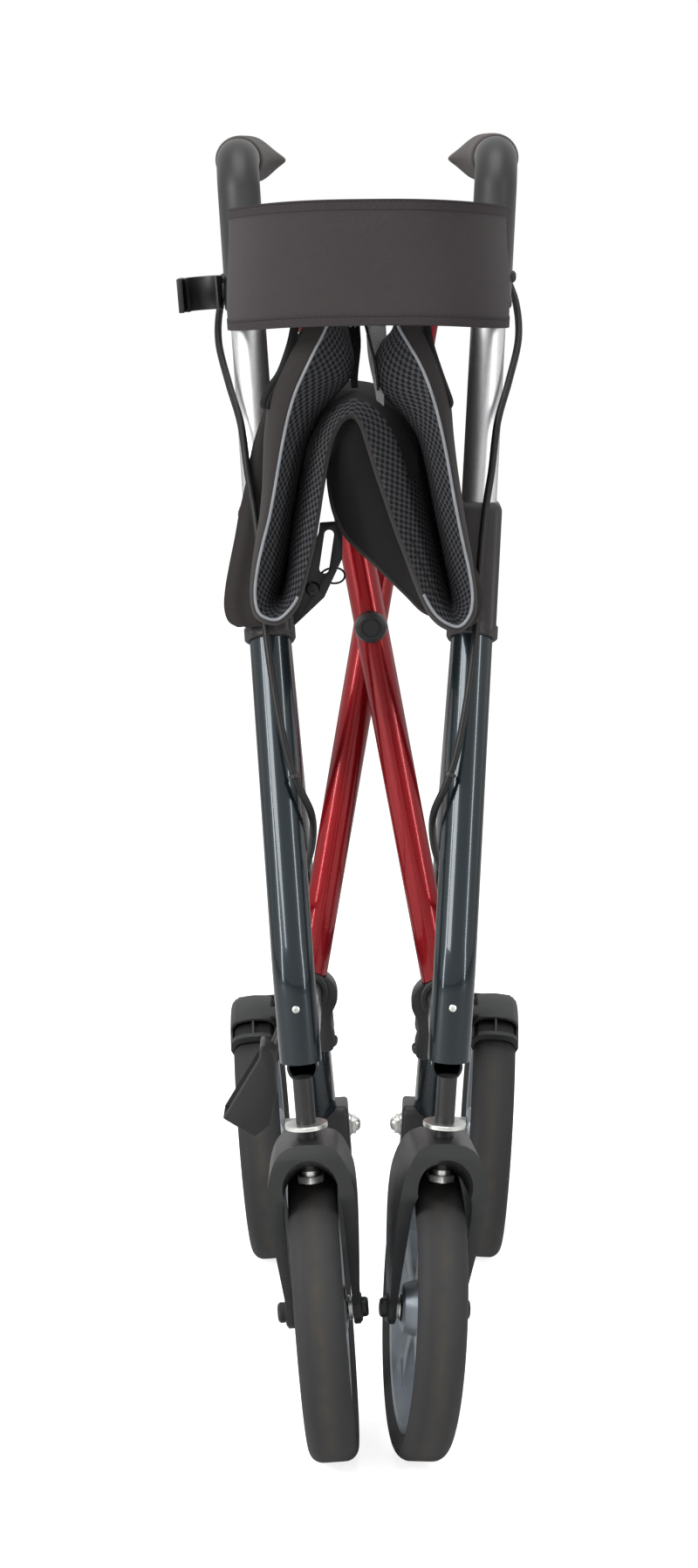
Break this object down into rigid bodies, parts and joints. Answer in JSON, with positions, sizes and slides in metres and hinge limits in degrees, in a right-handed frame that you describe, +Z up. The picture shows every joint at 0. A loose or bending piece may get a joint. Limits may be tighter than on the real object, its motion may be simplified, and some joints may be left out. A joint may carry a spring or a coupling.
{
  "type": "rollator",
  "caption": "Folding four-wheeled walking frame with crossed tubes, mesh seat, back strap, sliding handles, lever brakes and swivelling casters, folded and standing.",
  "frame": {"origin": "on the floor, under the middle of the folded object's box", "axes": "+Z up, -Y the front where the casters are, +X across to the side without the cane holder"},
  "size_m": [0.2332, 0.6452, 0.847],
  "materials": {
    "frame_paint": "dark blue-grey metallic paint",
    "red_paint": "glossy deep red paint",
    "bright_aluminium": "polished",
    "zinc": "zinc plated",
    "black_steel": "blackened steel",
    "black_moulding": "fine grained",
    "fender_moulding": "fine grained",
    "hub_moulding": "silver grey",
    "tyre": "matt, a little dusty",
    "grip_rubber": "soft",
    "cable_sheath": "smooth",
    "seat_mesh": "mesh cloth with a smooth border",
    "strap_cloth": "plain weave"
  },
  "bodies": {
    "core": {"pivot_bolt": "black_moulding", "seat_sling": "seat_mesh"},
    "front_cross": {"cross_frame_front": "red_paint", "cross_hinge_right": "black_moulding"},
    "rear_cross": {"cross_frame_rear": "red_paint", "cross_hinge_left": "black_moulding"},
    "frame_left": {"front_tube_left": "frame_paint", "rear_leg_left": "frame_paint", "lower_rail_left": "frame_paint", "tube_housing_left": "black_moulding", "guide_bracket_left": "black_moulding", "caster_head_left": "black_moulding", "rear_axle_left": "zinc", "axle_lug_left": "black_moulding", "fender_left": "fender_moulding", "brake_bracket_left": "black_moulding", "brake_cable_left": "cable_sheath", "cane_cup": "black_moulding"},
    "frame_right": {"front_tube_right": "frame_paint", "rear_leg_right": "frame_paint", "lower_rail_right": "frame_paint", "tube_housing_right": "black_moulding", "guide_bracket_right": "black_moulding", "caster_head_right": "black_moulding", "rear_axle_right": "zinc", "axle_lug_right": "black_moulding", "fender_right": "fender_moulding", "brake_bracket_right": "black_moulding", "brake_cable_right": "cable_sheath"},
    "seat_left": {"seat_panel_left": "seat_mesh"},
    "seat_right": {"seat_panel_right": "seat_mesh"},
    "handle_left": {"handle_tube_left": "bright_aluminium", "handle_casing_left": "black_moulding", "grip_left": "grip_rubber", "cane_clip": "black_moulding"},
    "handle_right": {"handle_tube_right": "bright_aluminium", "handle_casing_right": "black_moulding", "grip_right": "grip_rubber"},
    "strap_left": {"back_strap_left": "strap_cloth"},
    "strap_right": {"back_strap_right": "strap_cloth"},
    "height_pin_left": {"height_pin_left": "black_steel"},
    "height_pin_right": {"height_pin_right": "black_steel"},
    "lever_left": {"brake_lever_left": "black_moulding"},
    "lever_right": {"brake_lever_right": "black_moulding"},
    "brake_left": {"brake_arm_left": "black_steel"},
    "brake_right": {"brake_arm_right": "black_steel"},
    "caster_left": {"caster_fork_left": "frame_paint", "stem_bolt_left": "zinc", "front_axle_left": "black_steel"},
    "caster_right": {"caster_fork_right": "frame_paint", "stem_bolt_right": "zinc", "front_axle_right": "black_steel"},
    "front_wheel_left": {"front_tyre_left": "tyre", "front_hub_left": "hub_moulding"},
    "front_wheel_right": {"front_tyre_right": "tyre", "front_hub_right": "hub_moulding"},
    "rear_wheel_left": {"rear_tyre_left": "tyre", "rear_hub_left": "hub_moulding"},
    "rear_wheel_right": {"rear_tyre_right": "tyre", "rear_hub_right": "hub_moulding"}
  },
  "joints": [
    {"name": "cross_fold", "type": "hinge", "parent": "core", "child": "front_cross", "pos_m": [0.00747, -0.03, 0.52], "axis": [0, -1, 0], "range_deg": [0, 36.9], "deforming": ["seat_sling"]},
    {"name": "rear_cross_fold", "type": "hinge", "parent": "core", "child": "rear_cross", "pos_m": [0.00747, -0.03, 0.52], "axis": [0, 1, 0], "range_deg": [0, 37]},
    {"name": "side_frame_left", "type": "hinge", "parent": "rear_cross", "child": "frame_left", "pos_m": [-0.0383, -0.0175, 0.26304], "axis": [0, -1, 0], "range_deg": [0, 33]},
    {"name": "side_frame_right", "type": "hinge", "parent": "front_cross", "child": "frame_right", "pos_m": [0.05324, -0.0425, 0.26304], "axis": [0, 1, 0], "range_deg": [0, 33]},
    {"name": "seat_wall_left", "type": "hinge", "parent": "front_cross", "child": "seat_left", "pos_m": [-0.03216, -0.15, 0.7425], "axis": [0, -1, 0], "range_deg": [0, 60.7]},
    {"name": "seat_wall_right", "type": "hinge", "parent": "rear_cross", "child": "seat_right", "pos_m": [0.0471, -0.15, 0.7425], "axis": [0, 1, 0], "range_deg": [0, 60.7]},
    {"name": "handle_height_left", "type": "slide", "parent": "frame_left", "child": "handle_left", "axis": [-0.0647, 0.3746, 0.9249], "range_m": [-0.06, 0.08], "deforming": ["brake_cable_left"]},
    {"name": "handle_height_right", "type": "slide", "parent": "frame_right", "child": "handle_right", "axis": [0.0647, 0.3746, 0.9249], "range_m": [-0.0601, 0.0801], "deforming": ["brake_cable_right"]},
    {"name": "strap_swing_left", "type": "hinge", "parent": "handle_left", "child": "strap_left", "pos_m": [-0.07311, -0.08746, 0.76079], "axis": [-0.0698, 0, 0.9976], "range_deg": [0, 60.2], "deforming": ["back_strap_left"]},
    {"name": "strap_swing_right", "type": "hinge", "parent": "handle_right", "child": "strap_right", "pos_m": [0.08804, -0.08746, 0.76079], "axis": [-0.0698, 0, -0.9976], "range_deg": [0, 60.2], "deforming": ["back_strap_right"]},
    {"name": "pin_pull_left", "type": "slide", "parent": "frame_left", "child": "height_pin_left", "axis": [0.0261, 0.9272, -0.3737], "range_m": [0, 0.006], "stiffness_N_per_m": 300, "springref_m": -0.003},
    {"name": "pin_pull_right", "type": "slide", "parent": "frame_right", "child": "height_pin_right", "axis": [-0.0261, 0.9272, -0.3737], "range_m": [0, 0.006], "stiffness_N_per_m": 300, "springref_m": -0.003},
    {"name": "brake_lever_left", "type": "hinge", "parent": "handle_left", "child": "lever_left", "pos_m": [-0.07569, -0.03098, 0.79769], "axis": [0.9976, 0, 0.0698], "range_deg": [0, 12], "stiffness_Nm_per_rad": 1.5, "springref_deg": -20.05},
    {"name": "brake_lever_right", "type": "hinge", "parent": "handle_right", "child": "lever_right", "pos_m": [0.09062, -0.03098, 0.79769], "axis": [0.9976, 0, -0.0698], "range_deg": [0, 12], "stiffness_Nm_per_rad": 1.5, "springref_deg": -20.05},
    {"name": "brake_arm_left", "type": "hinge", "parent": "frame_left", "child": "brake_left", "pos_m": [-0.03361, 0.28435, 0.19587], "axis": [0.9976, 0, 0.0698], "range_deg": [0, 1.9]},
    {"name": "brake_arm_right", "type": "hinge", "parent": "frame_right", "child": "brake_right", "pos_m": [0.04854, 0.28435, 0.19587], "axis": [0.9976, 0, -0.0698], "range_deg": [0, 1.9]},
    {"name": "caster_swivel_left", "type": "hinge", "parent": "frame_left", "child": "caster_left", "pos_m": [-0.03589, -0.262, 0.22858], "axis": [-0.0698, 0, 0.9976], "range_deg": [-6, 15]},
    {"name": "caster_swivel_right", "type": "hinge", "parent": "frame_right", "child": "caster_right", "pos_m": [0.05083, -0.262, 0.22858], "axis": [-0.0698, 0, -0.9976], "range_deg": [-0.5, 21]},
    {"name": "front_wheel_left", "type": "hinge", "parent": "caster_left", "child": "front_wheel_left", "pos_m": [-0.02674, -0.225, 0.09763], "axis": [0.9976, 0, 0.0698], "continuous": true},
    {"name": "front_wheel_right", "type": "hinge", "parent": "caster_right", "child": "front_wheel_right", "pos_m": [0.03781, -0.2252, 0.09791], "axis": [0.9921, 0.1045, -0.0694], "continuous": true},
    {"name": "rear_wheel_left", "type": "hinge", "parent": "frame_left", "child": "rear_wheel_left", "pos_m": [-0.07686, 0.225, 0.09763], "axis": [0.9976, 0, 0.0698], "continuous": true},
    {"name": "rear_wheel_right", "type": "hinge", "parent": "frame_right", "child": "rear_wheel_right", "pos_m": [0.09179, 0.225, 0.09763], "axis": [0.9976, 0, -0.0698], "continuous": true}
  ],
  "couplings": [
    {"joint": "rear_cross_fold", "follows": "cross_fold", "ratio": 1},
    {"joint": "side_frame_left", "follows": "cross_fold", "ratio": 0.8916},
    {"joint": "side_frame_right", "follows": "cross_fold", "ratio": 0.8916},
    {"joint": "seat_wall_left", "follows": "cross_fold", "ratio": 1.6423},
    {"joint": "seat_wall_right", "follows": "cross_fold", "ratio": 1.6423},
    {"joint": "handle_height_right", "follows": "handle_height_left", "ratio": 1},
    {"joint": "strap_swing_left", "follows": "cross_fold", "ratio": 1.626},
    {"joint": "strap_swing_right", "follows": "cross_fold", "ratio": 1.626},
    {"joint": "brake_arm_left", "follows": "brake_lever_left", "ratio": 0.15},
    {"joint": "brake_arm_right", "follows": "brake_lever_right", "ratio": 0.15}
  ]
}
